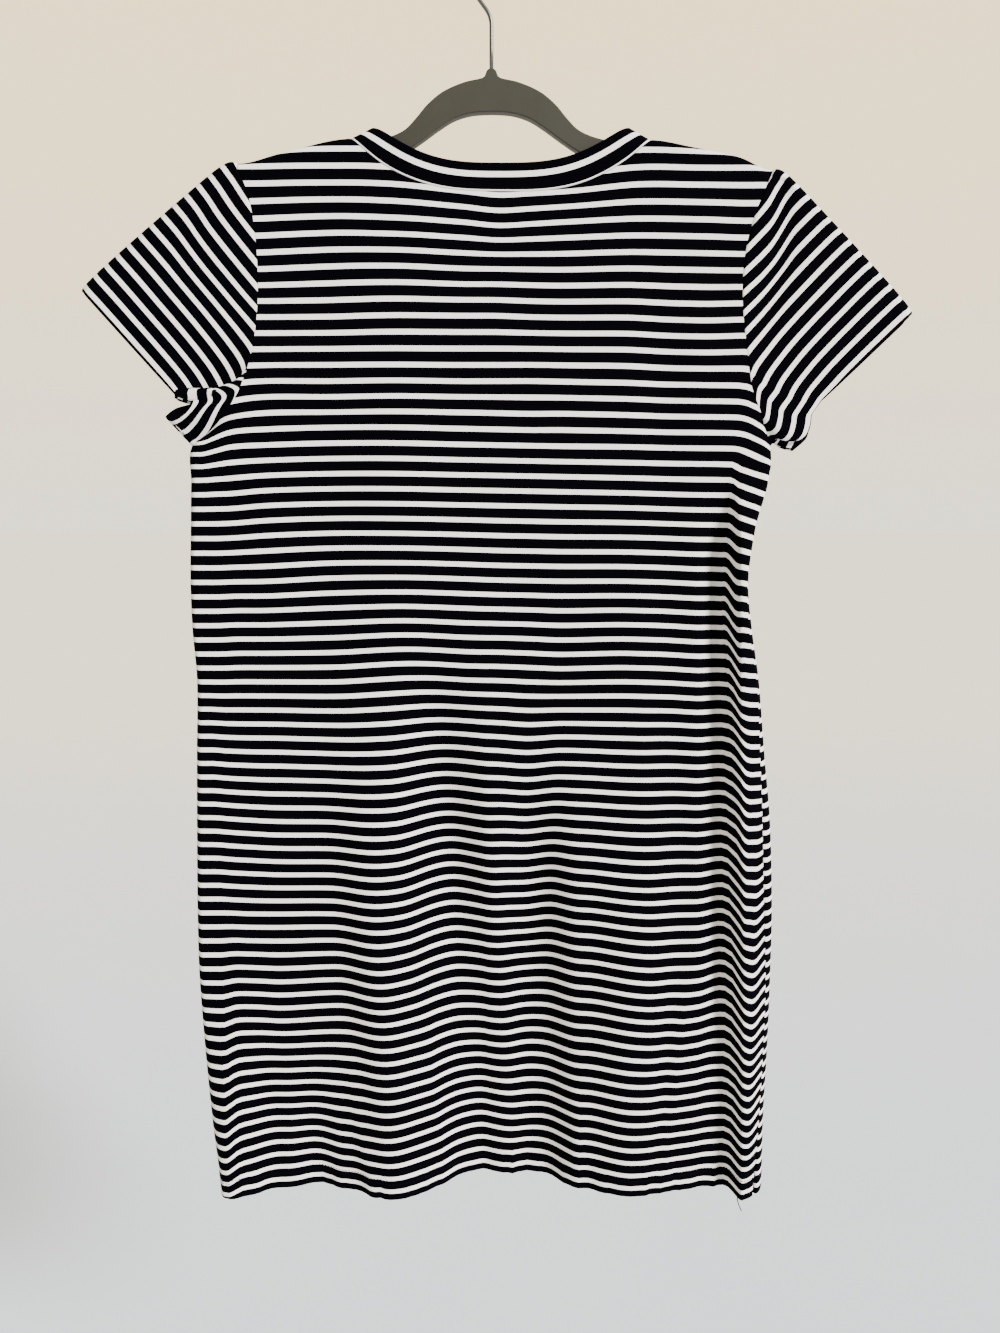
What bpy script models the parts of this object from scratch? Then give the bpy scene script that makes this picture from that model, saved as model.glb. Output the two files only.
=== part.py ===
# T-shirt dress of thin jersey on a plastic hanger, seen from its back.
# The origin is the inside of the hook's crown, +Z is up, and the dress's back faces -Y.
# Sizes below are millimetres, and `metre` turns them into metres where a mesh is made.
# "left" and "right" are as seen from the -Y side.
import math
from collections import namedtuple

import bmesh
import bpy
from mathutils import Vector

metre = 0.001

# Cloth
CLOTH = 1.4             # wall of the panels and sleeves
BAND_CLOTH = 2.0        # the neckband is folded double
SEAM_GAP = 0.3          # left between sewn pieces

# Heights under the hook's crown
NUB_TOP = -86.0
ARMPIT = -382.0
HEM = -1061.0

# Neck, measured across the shoulders
NECK_MIDDLE = 7.5
NECK_HALF = 122.5       # to the band's seam
BAND_HALF = 105.0       # to the band's free edge
BACK_NECK_DROP = 42.0
FRONT_NECK_DROP = 88.0
BACK_NECK_POWER = 3.1   # how square the two necklines are: 2 is an ellipse
FRONT_NECK_POWER = 2.5
NECK_ROUNDING = 1.1     # how softly the seam and the band's edge leave the shoulder
BAND_ROUNDING = 1.4
BAND_PEAK = -129.5      # where the band turns over the shoulder
BACK_BAND_DROP = 28.5
FRONT_BAND_DROP = 72.5

# Depth of the body: its two layers stand this far from the hanger's plane
SHOULDER_DEPTH = 8.0
BAND_DEPTH = 9.0
BACK_DEPTH_BELOW = 20.0
FRONT_DEPTH_BELOW = 24.0
DEPTH_FROM = -200.0
DEPTH_TO = -620.0
FULL_BY = 1 / 3         # share of the armhole's height by which every column has its full depth
TURN = 8.0              # how far the cloth's turn at a side reaches in
SHOULDER_TURN = 7.0     # how far its turn over the arms reaches down
CORNER_GAP = 1.6        # left between the panels where a seam ends in a corner
BAND_GAP = 0.7          # left between a panel and the neckband, whose wall is thicker
HEAD_GAP = 1.2          # left between a panel and the top of a sleeve, which slopes away
TURN_PATH = 13.0        # cloth used by a quarter of either turn

# Hanger
HANGER_THICK = 9.0
HANGER_EDGE = 3.2       # rounding of its outline
WIRE = 1.6              # radius of the hook's wire
LOOP = 18.2             # radius of the hook's loop at the wire's middle
LOOP_END = -28.0        # degrees round the loop where the wire ends
BEND = -46.0            # height of the bend between stem and loop
BEND_RUN = 7.0          # wire on each side that the bend takes
BEND_POINTS = 6
LOOP_POINTS = 25

# Grid of a panel. The first rows turn over the arms, and the first columns turn at the sides.
TOP_STEPS = (0.0, 1.2, 4.0, 8.0, 13.0)
SIDE_STEPS = (0.0, 1.5, 5.0, 10.0, 16.0, 24.0, 38.0, 64.0)
NECK_COLUMNS = 18
NECK_CROWDING = 0.65    # how far the neck's columns crowd towards its two ends
ARMHOLE_ROWS = 14       # rows from the shoulder to the armpit
SKIRT_ROWS = 20         # rows from the armpit to the hem
SLEEVE_ROWS = 7
FOLD_ROWS = 3           # armhole rows below the cuff's corner
EVEN_FROM = 5           # column from which the skirt's columns are spread evenly
EVEN_STEP = 14.0        # about how wide they then are
EVENING_ROWS = 6        # rows in which they come to that

# Width of the body at each height: left edge, the back's right seam, right outer edge
Width = namedtuple("Width", "z left seam right")
WIDTHS = (
    Width(-150, -206, 230, 230),
    Width(-162, -205, 228, 228),
    Width(-180, -198, 221, 221),
    Width(-202, -194, 213, 213),
    Width(-232, -192, 207, 207),
    Width(-268, -193, 207, 207),
    Width(-305, -199, 212, 212),
    Width(-335, -210, 217, 217),
    Width(-352, -221, 224, 224),
    Width(-368, -236, 230, 230),
    Width(-382, -254, 235, 235),
    Width(-411, -256, 234, 235),
    Width(-453, -258, 222, 224),
    Width(-495, -260, 215, 219),
    Width(-537, -260, 217, 224),
    Width(-580, -258, 226, 232),
    Width(-645, -261, 232, 240),
    Width(-710, -264, 237, 248),
    Width(-790, -267, 242, 253),
    Width(-856, -268, 246, 254),
    Width(-926, -265, 246, 254),
    Width(-994, -260, 244, 253),
    Width(-1061, -254, 241, 254),
)

# The line that the shoulder seams follow, carried on across the neck
Shoulder = namedtuple("Shoulder", "x z")
SHOULDERS = (
    Shoulder(-206, -156.5), Shoulder(-172, -149.0), Shoulder(-115, -137.5),
    Shoulder(130, -138.5), Shoulder(161, -143.5), Shoulder(201, -151.5), Shoulder(230, -161.5),
)

# Folds of the body. Each one begins at `top`, is full at `full`, runs from x_top to x_hem, is
# 2 * half wide and stands `rise` out of the cloth around it, or sinks in where that is negative.
Fold = namedtuple("Fold", "top full x_top x_hem half rise")
BACK_FOLDS = (
    Fold(-860, -1061, -252, -256, 34, 15),
    Fold(-560, -1040, -100, -101, 46, 21),
    Fold(-510, -760, -58, -28, 46, -24),
    Fold(-620, -800, 40, 46, 44, -23),
    Fold(-740, -1040, 9, 9, 38, -17),
    Fold(-600, -900, 135, 142, 78, 13),
    Fold(-600, -900, 190, 195, 26, -8),
    Fold(-388, -470, 199, 228, 28, 17),
    Fold(-180, -340, 140, 172, 30, -3),
    Fold(-200, -350, -80, -120, 60, 2.5),
)
FRONT_FOLDS = (
    Fold(-860, -1061, -248, -250, 40, -12),
    Fold(-620, -1000, -150, -140, 44, 7),
    Fold(-520, -900, -70, -62, 40, -5),
    Fold(-560, -980, 14, 22, 46, 8),
    Fold(-480, -900, 96, 104, 38, -6),
    Fold(-600, -1000, 168, 176, 36, 7),
)

# Where the seam or fold at each side lies in depth
EdgeDepth = namedtuple("EdgeDepth", "z left right")
EDGE_DEPTHS = (
    EdgeDepth(-150, 0, 0), EdgeDepth(-382, 0, -2), EdgeDepth(-560, -1, -4), EdgeDepth(-860, -5, -6),
    EdgeDepth(-1061, -18, -6),
)

# Cuff corners and, below them, the points of the cuff that fold under the arm
Cuff = namedtuple("Cuff", "top corner folds bow")
CUFFS = {
    "left": Cuff((-340, -254), (-267, -337), ((-252, -346), (-273, -357), (-268, -366)), 11.0),
    "right": Cuff((350, -272), (269, -352), ((268, -362), (265, -373), (254, -378)), 11.0),
}
CUFF_DEPTH = 5.0        # half the depth of the cuff's opening
HEAD_LENGTH = 0.05      # share of a sleeve in which its head rises
HEAD_WIDTH = 60.0       # cloth below the shoulder that its head takes in

# Outline of the hanger's right half, from the nub round to the middle of the arch's underside
Outline = namedtuple("Outline", "x z")
HANGER_TOP = (
    Outline(3.6, NUB_TOP), Outline(4.2, -90), Outline(8.5, -92.8), Outline(22, -96), Outline(39, -103),
    Outline(51.5, -112.5), Outline(61, -123), Outline(70, -131.5), Outline(82, -136.8),
    Outline(98, -140.5), Outline(115, -143.0), Outline(172, -154.5), Outline(194, -160),
)
HANGER_END = (Outline(200, -163.5), Outline(201, -168), Outline(197, -173))
HANGER_BOTTOM = (
    Outline(172, -170), Outline(115, -160), Outline(90, -155), Outline(72, -149), Outline(57, -140),
    Outline(43, -130.5), Outline(30, -123), Outline(16, -119), Outline(0, -118),
)


def smooth(share):
    """0 at 0 and 1 at 1, level at both ends."""
    share = min(1.0, max(0.0, share))
    return share * share * (3.0 - 2.0 * share)


def between(rows, key, value, at):
    """The column `value` where the column `key` is `at`, on a smooth curve through the rows."""
    keys = [getattr(row, key) for row in rows]
    values = [getattr(row, value) for row in rows]
    if keys[0] > keys[-1]:
        keys, values = keys[::-1], values[::-1]
    at = min(keys[-1], max(keys[0], at))
    last = len(keys) - 2
    i = min(last, max(k for k in range(last + 1) if keys[k] <= at))
    step = keys[i + 1] - keys[i]

    def slope(k):
        if k == 0 or k == last + 1:
            return 0.0
        return (values[k + 1] - values[k - 1]) / (keys[k + 1] - keys[k - 1])

    t = (at - keys[i]) / step
    start, end = values[i], values[i + 1]
    bend = t * (1 - t) * step * ((1 - t) * slope(i) - t * slope(i + 1))
    return start + (end - start) * t * t * (3 - 2 * t) + bend


def fold_height(folds, x, z):
    """How far the folds bring the cloth out at a place on the body."""
    height = 0.0
    for fold in folds:
        run = (fold.top - z) / (fold.top - fold.full)
        if run <= 0:
            continue
        middle = fold.x_top + (fold.x_hem - fold.x_top) * smooth((fold.top - z) / (fold.top - HEM))
        off = abs(x - middle) / fold.half
        if off < 1:
            height += fold.rise * smooth(run) * 0.5 * (1 + math.cos(math.pi * off))
    return height


def body_depth(side, x, z):
    """Depth of the back (side -1) or the front (side 1) away from its edges."""
    below = BACK_DEPTH_BELOW if side < 0 else FRONT_DEPTH_BELOW
    folds = BACK_FOLDS if side < 0 else FRONT_FOLDS
    fall = smooth((DEPTH_FROM - z) / (DEPTH_FROM - DEPTH_TO))
    return side * (SHOULDER_DEPTH + (below - SHOULDER_DEPTH) * fall + fold_height(folds, x, z))


def shoulder_line(x):
    return between(SHOULDERS, "x", "z", x)


def neck_line(side, x):
    """Height of the neck seam of the back (side -1) or the front (side 1)."""
    drop = BACK_NECK_DROP if side < 0 else FRONT_NECK_DROP
    power = BACK_NECK_POWER if side < 0 else FRONT_NECK_POWER
    off = min(1.0, abs(x - NECK_MIDDLE) / NECK_HALF)
    return shoulder_line(x) - drop * (1 - off ** power) ** NECK_ROUNDING


def turn_angle(share):
    """Angle on a quarter turn whose far end is reached where the share is 1."""
    return math.pi / 2 * min(1.0, max(0.0, share))


def from_top(side, x_top, path):
    """Height, and share of the full depth, at a length of cloth below the top of a column."""
    ridge = shoulder_line(x_top)
    in_neck = abs(x_top - NECK_MIDDLE) < NECK_HALF
    drop = ridge - neck_line(side, x_top) if in_neck else 0.0
    if drop >= SHOULDER_TURN:
        return ridge - drop - path, 1.0
    start = math.acos(1 - drop / SHOULDER_TURN)
    angle = start + path / TURN_PATH * math.pi / 2
    if angle < math.pi / 2:
        return ridge - SHOULDER_TURN * (1 - math.cos(angle)), math.sin(angle)
    spare = (angle - math.pi / 2) / (math.pi / 2) * TURN_PATH
    return ridge - SHOULDER_TURN - spare, 1.0


def neck_offset(column):
    """Place of a neck column, from -1 at the left corner to 1 at the right one."""
    even = 2 * column / NECK_COLUMNS - 1
    return even + NECK_CROWDING * (math.sin(even * math.pi / 2) - even)


def column_shares():
    """Places of the columns across the shoulders, from 0 at the left to 1 at the right."""
    left, right = WIDTHS[0].left, WIDTHS[0].right
    places = [left + step for step in SIDE_STEPS]
    places += [NECK_MIDDLE + NECK_HALF * neck_offset(i) for i in range(NECK_COLUMNS + 1)]
    places += [right - step for step in reversed(SIDE_STEPS)]
    return [(place - left) / (right - left) for place in places]


SHARES = column_shares()
COLUMNS = len(SHARES) - 1
ROWS = ARMHOLE_ROWS + SKIRT_ROWS
FIRST_NECK = len(SIDE_STEPS)


def panel_point(side, column, row):
    """A point on the outer face of the back (side -1) or the front (side 1)."""
    x_top = WIDTHS[0].left + (WIDTHS[0].right - WIDTHS[0].left) * SHARES[column]
    if row < len(TOP_STEPS):
        z, share = from_top(side, x_top, TOP_STEPS[row])
    elif row <= ARMHOLE_ROWS:
        z_start, share = from_top(side, x_top, TOP_STEPS[-1])
        run = (row - len(TOP_STEPS) + 1) / (ARMHOLE_ROWS - len(TOP_STEPS) + 1)
        z = z_start + (ARMPIT - z_start) * run
        share += (1 - share) * smooth(run / FULL_BY)
    else:
        z = ARMPIT + (HEM - ARMPIT) * (row - ARMHOLE_ROWS) / SKIRT_ROWS
        share = 1.0
    if row >= ARMHOLE_ROWS:
        return side_turn(side, column, z)
    left = between(WIDTHS, "z", "left", z)
    right = between(WIDTHS, "z", "right", z)
    x = left + (right - left) * SHARES[column]
    return Vector((x, body_depth(side, x, z) * share, z))


def side_turn(side, column, z):
    """A point below the armpit, where the cloth turns at both sides to meet the other panel."""
    hand = "left" if column < COLUMNS / 2 else "right"
    edge = between(WIDTHS, "z", hand, z)
    edge_depth = between(EDGE_DEPTHS, "z", hand, z)
    from_seam = column if hand == "left" else COLUMNS - column
    if from_seam < len(SIDE_STEPS):
        path = SIDE_STEPS[from_seam]
    else:
        path = from_seam * EVEN_STEP
    seam_in = abs(edge - between(WIDTHS, "z", "seam", z)) if hand == "right" else 0.0
    full = math.pi / 2
    angle = -side * math.acos(1 - seam_in / TURN) + path / TURN_PATH * full
    if angle < full:
        reach, share = TURN * (1 - math.cos(angle)), math.sin(angle)
    else:
        reach, share = TURN + (angle - full) / full * TURN_PATH, 1.0
    x = edge + (reach if hand == "left" else -reach)
    depth = body_depth(side if share >= 0 else -side, x, z)
    return Vector((x, edge_depth + (depth - edge_depth) * abs(share), z))


def tidy_columns(side, row, points):
    """Columns between the two turns, set evenly again so that none overtakes another."""
    if row < ARMHOLE_ROWS:
        return points
    last = COLUMNS - EVEN_FROM
    start, end = points[EVEN_FROM].x, points[last].x
    low, high = SHARES[EVEN_FROM], SHARES[last]
    evened = smooth((row - ARMHOLE_ROWS) / EVENING_ROWS)
    for column in range(EVEN_FROM + 1, last):
        above = (SHARES[column] - low) / (high - low)
        even = (column - EVEN_FROM) / (last - EVEN_FROM)
        x = start + (end - start) * (above + (even - above) * evened)
        z = points[column].z
        points[column] = Vector((x, body_depth(side, x, z), z))
    return points


def panel_grid(side):
    """Rows of outer points, with the sewn edges drawn back by half the seam's gap."""
    grid = [tidy_columns(side, row, [panel_point(side, c, row) for c in range(COLUMNS + 1)])
            for row in range(ROWS + 1)]
    for number, row in enumerate(grid):
        gap = CORNER_GAP if number == ARMHOLE_ROWS else SEAM_GAP
        draw_back(row, 0, 1, gap)
        draw_back(row, COLUMNS, COLUMNS - 1, gap)
    for column in range(COLUMNS + 1):
        edge = grid[0][column]
        edge += (grid[1][column] - edge).normalized() * SEAM_GAP / 2
        if column in (FIRST_NECK, FIRST_NECK + NECK_COLUMNS):
            edge.y += side * CORNER_GAP / 2
    return grid


def draw_back(row, edge, inner, gap):
    """Moves a sewn edge towards its neighbour by half of a gap."""
    row[edge] = row[edge] + (row[inner] - row[edge]).normalized() * gap / 2


def add_sheet(name, grid, outward, thickness, material, closed=False):
    """A cloth wall on a grid of outer points, thickened inwards."""
    rows, columns = len(grid) - 1, len(grid[0]) - 1
    mesh = bpy.data.meshes.new(name)
    work = bmesh.new()
    bmesh.ops.create_grid(work, x_segments=columns, y_segments=rows, size=1.0)
    for vertex in work.verts:
        column = round((vertex.co.x + 1) / 2 * columns)
        row = round((vertex.co.y + 1) / 2 * rows)
        vertex.co = grid[row][column] * metre
    if closed:
        bmesh.ops.remove_doubles(work, verts=work.verts, dist=1e-6)
    work.normal_update()
    facing = sum(face.normal.dot(outward(face.calc_center_median() / metre)) * face.calc_area()
                 for face in work.faces)
    if facing < 0:
        bmesh.ops.reverse_faces(work, faces=work.faces)
    work.to_mesh(mesh)
    work.free()
    sheet = add_object(name, mesh, material)
    mesh.shade_smooth()
    wall = sheet.modifiers.new("wall", "SOLIDIFY")
    wall.thickness = thickness * metre
    wall.offset = -1.0
    wall.use_rim = True
    return sheet


def add_object(name, data, material):
    thing = bpy.data.objects.new(name, data)
    parts.objects.link(thing)
    data.materials.append(material)
    return thing


def make_material(name, colour, roughness, metallic=0.0):
    material = bpy.data.materials.new(name)
    material.use_nodes = True
    shader = material.node_tree.nodes["Principled BSDF"]
    shader.inputs["Base Color"].default_value = (*colour, 1.0)
    shader.inputs["Roughness"].default_value = roughness
    shader.inputs["Metallic"].default_value = metallic
    return material


def armhole_ring(back, front, column):
    """The armhole as a closed ring: down the back panel's edge and up the front panel's."""
    down = [back[row][column] for row in range(ARMHOLE_ROWS + 1)]
    up = [front[row][column] for row in range(ARMHOLE_ROWS + 1)]
    ring = [(down[0] + up[0]) / 2] + down[1:-1] + [(down[-1] + up[-1]) / 2] + up[-2:0:-1]
    return ring + ring[:1]


def cuff_point(cuff, row, shares):
    """Place of an armhole row's other end, on the cuff's back half, and its depth there."""
    corner_row = ARMHOLE_ROWS - FOLD_ROWS
    top, corner = Vector(cuff.top), Vector(cuff.corner)
    if row <= corner_row:
        place = top.lerp(corner, shares[row])
        round_in = math.sin(turn_angle(shares[row] * (corner - top).length / TURN))
        return place, CUFF_DEPTH * round_in
    place = Vector(cuff.folds[row - corner_row - 1])
    return place, 0.0 if row == ARMHOLE_ROWS else CUFF_DEPTH


def sleeve_grid(side_name, ring):
    """Rows of outer points from the armhole to the cuff, each a closed ring."""
    cuff = CUFFS[side_name]
    corner_row = ARMHOLE_ROWS - FOLD_ROWS
    runs = [0.0]
    for row in range(corner_row):
        runs.append(runs[-1] + (ring[row + 1] - ring[row]).length)
    shares = [run / runs[-1] for run in runs]
    ends = []
    for index in range(len(ring)):
        row = min(index, 2 * ARMHOLE_ROWS - index)
        place, depth = cuff_point(cuff, row, shares)
        sign = -1 if index <= ARMHOLE_ROWS else 1
        ends.append(Vector((place.x, sign * depth, place.y)))
    grid = []
    for step in range(SLEEVE_ROWS + 1):
        share = step / SLEEVE_ROWS
        section = []
        for index, (start, end) in enumerate(zip(ring, ends)):
            row = min(index, 2 * ARMHOLE_ROWS - index)
            reach = end - start
            upper = max(0.0, 1 - runs[min(row, corner_row)] / HEAD_WIDTH)
            gap = SEAM_GAP * 1.5 + (HEAD_GAP - SEAM_GAP) * upper
            shift = gap * (1 - share) / reach.length
            point = start + reach * (share + shift)
            head = math.sqrt(1 - share) * (1 - math.exp(-share / HEAD_LENGTH))
            point.z += cuff.bow * head * upper
            section.append(point)
        grid.append(section)
    return grid


def band_grid(back, front):
    """The neckband as a closed ring of three rows: seam, middle and free edge."""
    neck = range(FIRST_NECK, FIRST_NECK + NECK_COLUMNS + 1)
    near = [(-1, column) for column in neck]
    far = [(1, column) for column in reversed(neck)]
    seam, edge = [], []
    for side, column in near[:-1] + far[:-1]:
        panel = back if side < 0 else front
        start = panel[0][column].copy()
        if column in (neck[0], neck[-1]):
            start = (back[0][column] + front[0][column]) / 2
        off = neck_offset(column - neck[0])
        drop = BACK_BAND_DROP if side < 0 else FRONT_BAND_DROP
        power = BACK_NECK_POWER if side < 0 else FRONT_NECK_POWER
        fall = drop * (1 - abs(off) ** power) ** BAND_ROUNDING
        share = math.sin(math.acos(1 - min(1.0, fall / SHOULDER_TURN)))
        end = Vector((NECK_MIDDLE + BAND_HALF * off, side * share * BAND_DEPTH, BAND_PEAK - fall))
        start += (end - start).normalized() * BAND_GAP
        seam.append(start)
        edge.append(end)
    middle = [(a + b) / 2 for a, b in zip(seam, edge)]
    return [ring + ring[:1] for ring in (seam, middle, edge)]


def filled_outline(name, points, thick, rounding, material):
    """A flat outline in the XZ plane, given its thickness and rounded edges."""
    curve = bpy.data.curves.new(name, "CURVE")
    curve.dimensions = "2D"
    curve.fill_mode = "BOTH"
    curve.extrude = (thick / 2 - rounding) * metre
    curve.bevel_depth = rounding * metre
    curve.bevel_resolution = 1
    curve.offset = -rounding * metre
    spline = curve.splines.new("POLY")
    spline.points.add(len(points) - 1)
    for point, (x, z) in zip(spline.points, points):
        point.co = (x * metre, z * metre, 0.0, 1.0)
    spline.use_cyclic_u = True
    thing = add_object(name, curve, material)
    thing.rotation_euler = (math.pi / 2, 0.0, 0.0)
    return thing


def hanger_outline():
    """The hanger's whole outline, clockwise from the nub's right corner."""
    right = [(p.x, p.z) for p in HANGER_TOP + HANGER_END + HANGER_BOTTOM]
    left = [(-x, z) for x, z in reversed(right) if x > 0]
    return right + left


def hook_route():
    """Middle of the wire: stem, bend, straight run to the loop, and round the crown."""
    centre_z = WIRE - LOOP
    rise = centre_z - BEND
    lean = math.asin(LOOP / rise)
    run = math.sqrt(rise * rise - LOOP * LOOP)
    away = Vector((-math.sin(lean), 0.0, math.cos(lean)))
    bend = Vector((0.0, 0.0, BEND))
    low, high = bend - Vector((0.0, 0.0, BEND_RUN)), bend + away * BEND_RUN
    route = [Vector((0.0, 0.0, NUB_TOP + SEAM_GAP))]
    for i in range(BEND_POINTS):
        t = i / (BEND_POINTS - 1)
        route.append(low * (1 - t) ** 2 + bend * 2 * t * (1 - t) + high * t * t)
    touch = bend + away * run
    first = math.atan2(touch.z - centre_z, touch.x) % (2 * math.pi)
    last = math.radians(LOOP_END)
    for i in range(LOOP_POINTS):
        angle = first + (last - first) * i / (LOOP_POINTS - 1)
        route.append(Vector((LOOP * math.cos(angle), 0.0, centre_z + LOOP * math.sin(angle))))
    return route


def wire(name, route, radius, material):
    """A round wire with closed ends along a route."""
    curve = bpy.data.curves.new(name, "CURVE")
    curve.dimensions = "3D"
    curve.bevel_depth = radius * metre
    curve.bevel_resolution = 2
    curve.use_fill_caps = True
    spline = curve.splines.new("POLY")
    spline.points.add(len(route) - 1)
    for point, place in zip(spline.points, route):
        point.co = (*(place * metre), 1.0)
    return add_object(name, curve, material)


for old in list(bpy.data.objects):
    bpy.data.objects.remove(old, do_unlink=True)
parts = bpy.data.collections.new("t_shirt_dress")
bpy.context.scene.collection.children.link(parts)

jersey = make_material("striped_jersey", (0.25, 0.25, 0.28), 0.85)
band_jersey = make_material("band_jersey", (0.02, 0.02, 0.05), 0.85)
plastic = make_material("grey_plastic", (0.11, 0.11, 0.09), 0.45)
steel = make_material("bright_steel", (0.62, 0.62, 0.63), 0.3, 1.0)

back_grid = panel_grid(-1)
front_grid = panel_grid(1)
add_sheet("back_panel", back_grid, lambda place: Vector((0, -1, 0)), CLOTH, jersey)
add_sheet("front_panel", front_grid, lambda place: Vector((0, 1, 0)), CLOTH, jersey)

for side_name, edge_column in (("left", 0), ("right", COLUMNS)):
    armhole = armhole_ring(back_grid, front_grid, edge_column)
    add_sheet(side_name + "_sleeve", sleeve_grid(side_name, armhole),
              lambda place: Vector((0, place.y, 0)), CLOTH, jersey, closed=True)

add_sheet("neckband", band_grid(back_grid, front_grid),
          lambda place: Vector((0, place.y, 0)), BAND_CLOTH, band_jersey, closed=True)

filled_outline("hanger_body", hanger_outline(), HANGER_THICK, HANGER_EDGE, plastic)
wire("hanger_hook", hook_route(), WIRE, steel)
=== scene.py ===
# Looks of a striped jersey t-shirt dress on its hanger, seen from its back.
import bisect
import math
from collections import namedtuple

import bmesh
import bpy
from mathutils import Matrix, Vector, noise


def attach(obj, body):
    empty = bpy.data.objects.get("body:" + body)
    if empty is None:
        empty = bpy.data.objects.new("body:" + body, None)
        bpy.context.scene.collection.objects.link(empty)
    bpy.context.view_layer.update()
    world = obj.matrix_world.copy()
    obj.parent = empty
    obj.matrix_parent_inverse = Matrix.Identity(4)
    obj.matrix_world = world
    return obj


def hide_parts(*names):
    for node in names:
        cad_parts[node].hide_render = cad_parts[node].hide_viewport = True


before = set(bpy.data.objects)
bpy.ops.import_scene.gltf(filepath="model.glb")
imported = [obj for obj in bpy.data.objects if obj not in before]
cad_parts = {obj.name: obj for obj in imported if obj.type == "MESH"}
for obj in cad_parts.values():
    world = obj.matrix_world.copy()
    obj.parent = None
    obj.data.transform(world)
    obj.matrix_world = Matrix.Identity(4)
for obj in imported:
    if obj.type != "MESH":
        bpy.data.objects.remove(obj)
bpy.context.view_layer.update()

# Tables and sizes are millimetres from the inside of the hook's crown, +Z up, the dress's back
# towards -Y. `mm` turns them into metres where a mesh is made. Left and right are the picture's.
mm = 0.001
print("frame loaded:", ", ".join(sorted(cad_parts)))


def smooth(share):
    share = min(1.0, max(0.0, share))
    return share * share * (3.0 - 2.0 * share)


def blend(start, end, share):
    return start + (end - start) * share


def through(keys, values, at):
    # A smooth line through the points of a table, read at one place.
    def slope(k):
        if k in (0, len(keys) - 1):
            return values[k] * 0.0
        return (values[k + 1] - values[k - 1]) / (keys[k + 1] - keys[k - 1])

    at = min(keys[-1], max(keys[0], at))
    i = min(len(keys) - 2, max(0, bisect.bisect_right(keys, at) - 1))
    step = keys[i + 1] - keys[i]
    t = (at - keys[i]) / step
    bend = (slope(i) * (1 - t) - slope(i + 1) * t) * (t * (1 - t) * step)
    return blend(values[i], values[i + 1], t * t * (3 - 2 * t)) + bend


class Line:
    # Two columns of a table as a smooth line.
    def __init__(self, rows, key, value):
        pairs = sorted((getattr(row, key), getattr(row, value)) for row in rows)
        self.keys, self.values = zip(*pairs)

    def __call__(self, at):
        return through(self.keys, self.values, at)


def stepAt(steps, index):
    # A table of steps read at a part of an index.
    low = min(len(steps) - 2, int(index))
    return blend(steps[low], steps[low + 1], index - low)


# Cloth

cloth = {
    "thick": 0.9,
    "hemDepth": 21.0,        # turned up at the hem and the cuffs
    "hemFold": 0.95,         # radius of the turn at their edges
    "foldLength": 0.9,       # how much of the stripes that turn takes
    "foldSteps": 4, "hemSteps": 7,
    "hemShort": 3.0,         # a hem ends at least this far below the cloth's upper end
    "seamGap": 0.3,
    "period": 12.5,          # one dark and one white stripe
    "white": 0.33, "whiteFrom": 0.61,    # share of it that is white, and from where
    "stripeStart": -188.0,   # height of the top edge of a white stripe on the back
}

Width = namedtuple("Width", "z left seam right")
Shoulder = namedtuple("Shoulder", "x z")
Fold = namedtuple("Fold", "top full xTop xHem left right rise")
Crease = namedtuple("Crease", "top end xTop xEnd wide rise")
EdgeDepth = namedtuple("EdgeDepth", "z left right")
Sag = namedtuple("Sag", "z drops")
StepShift = namedtuple("StepShift", "z shift")
Ripple = namedtuple("Ripple", "fineness seed level strength")

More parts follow.
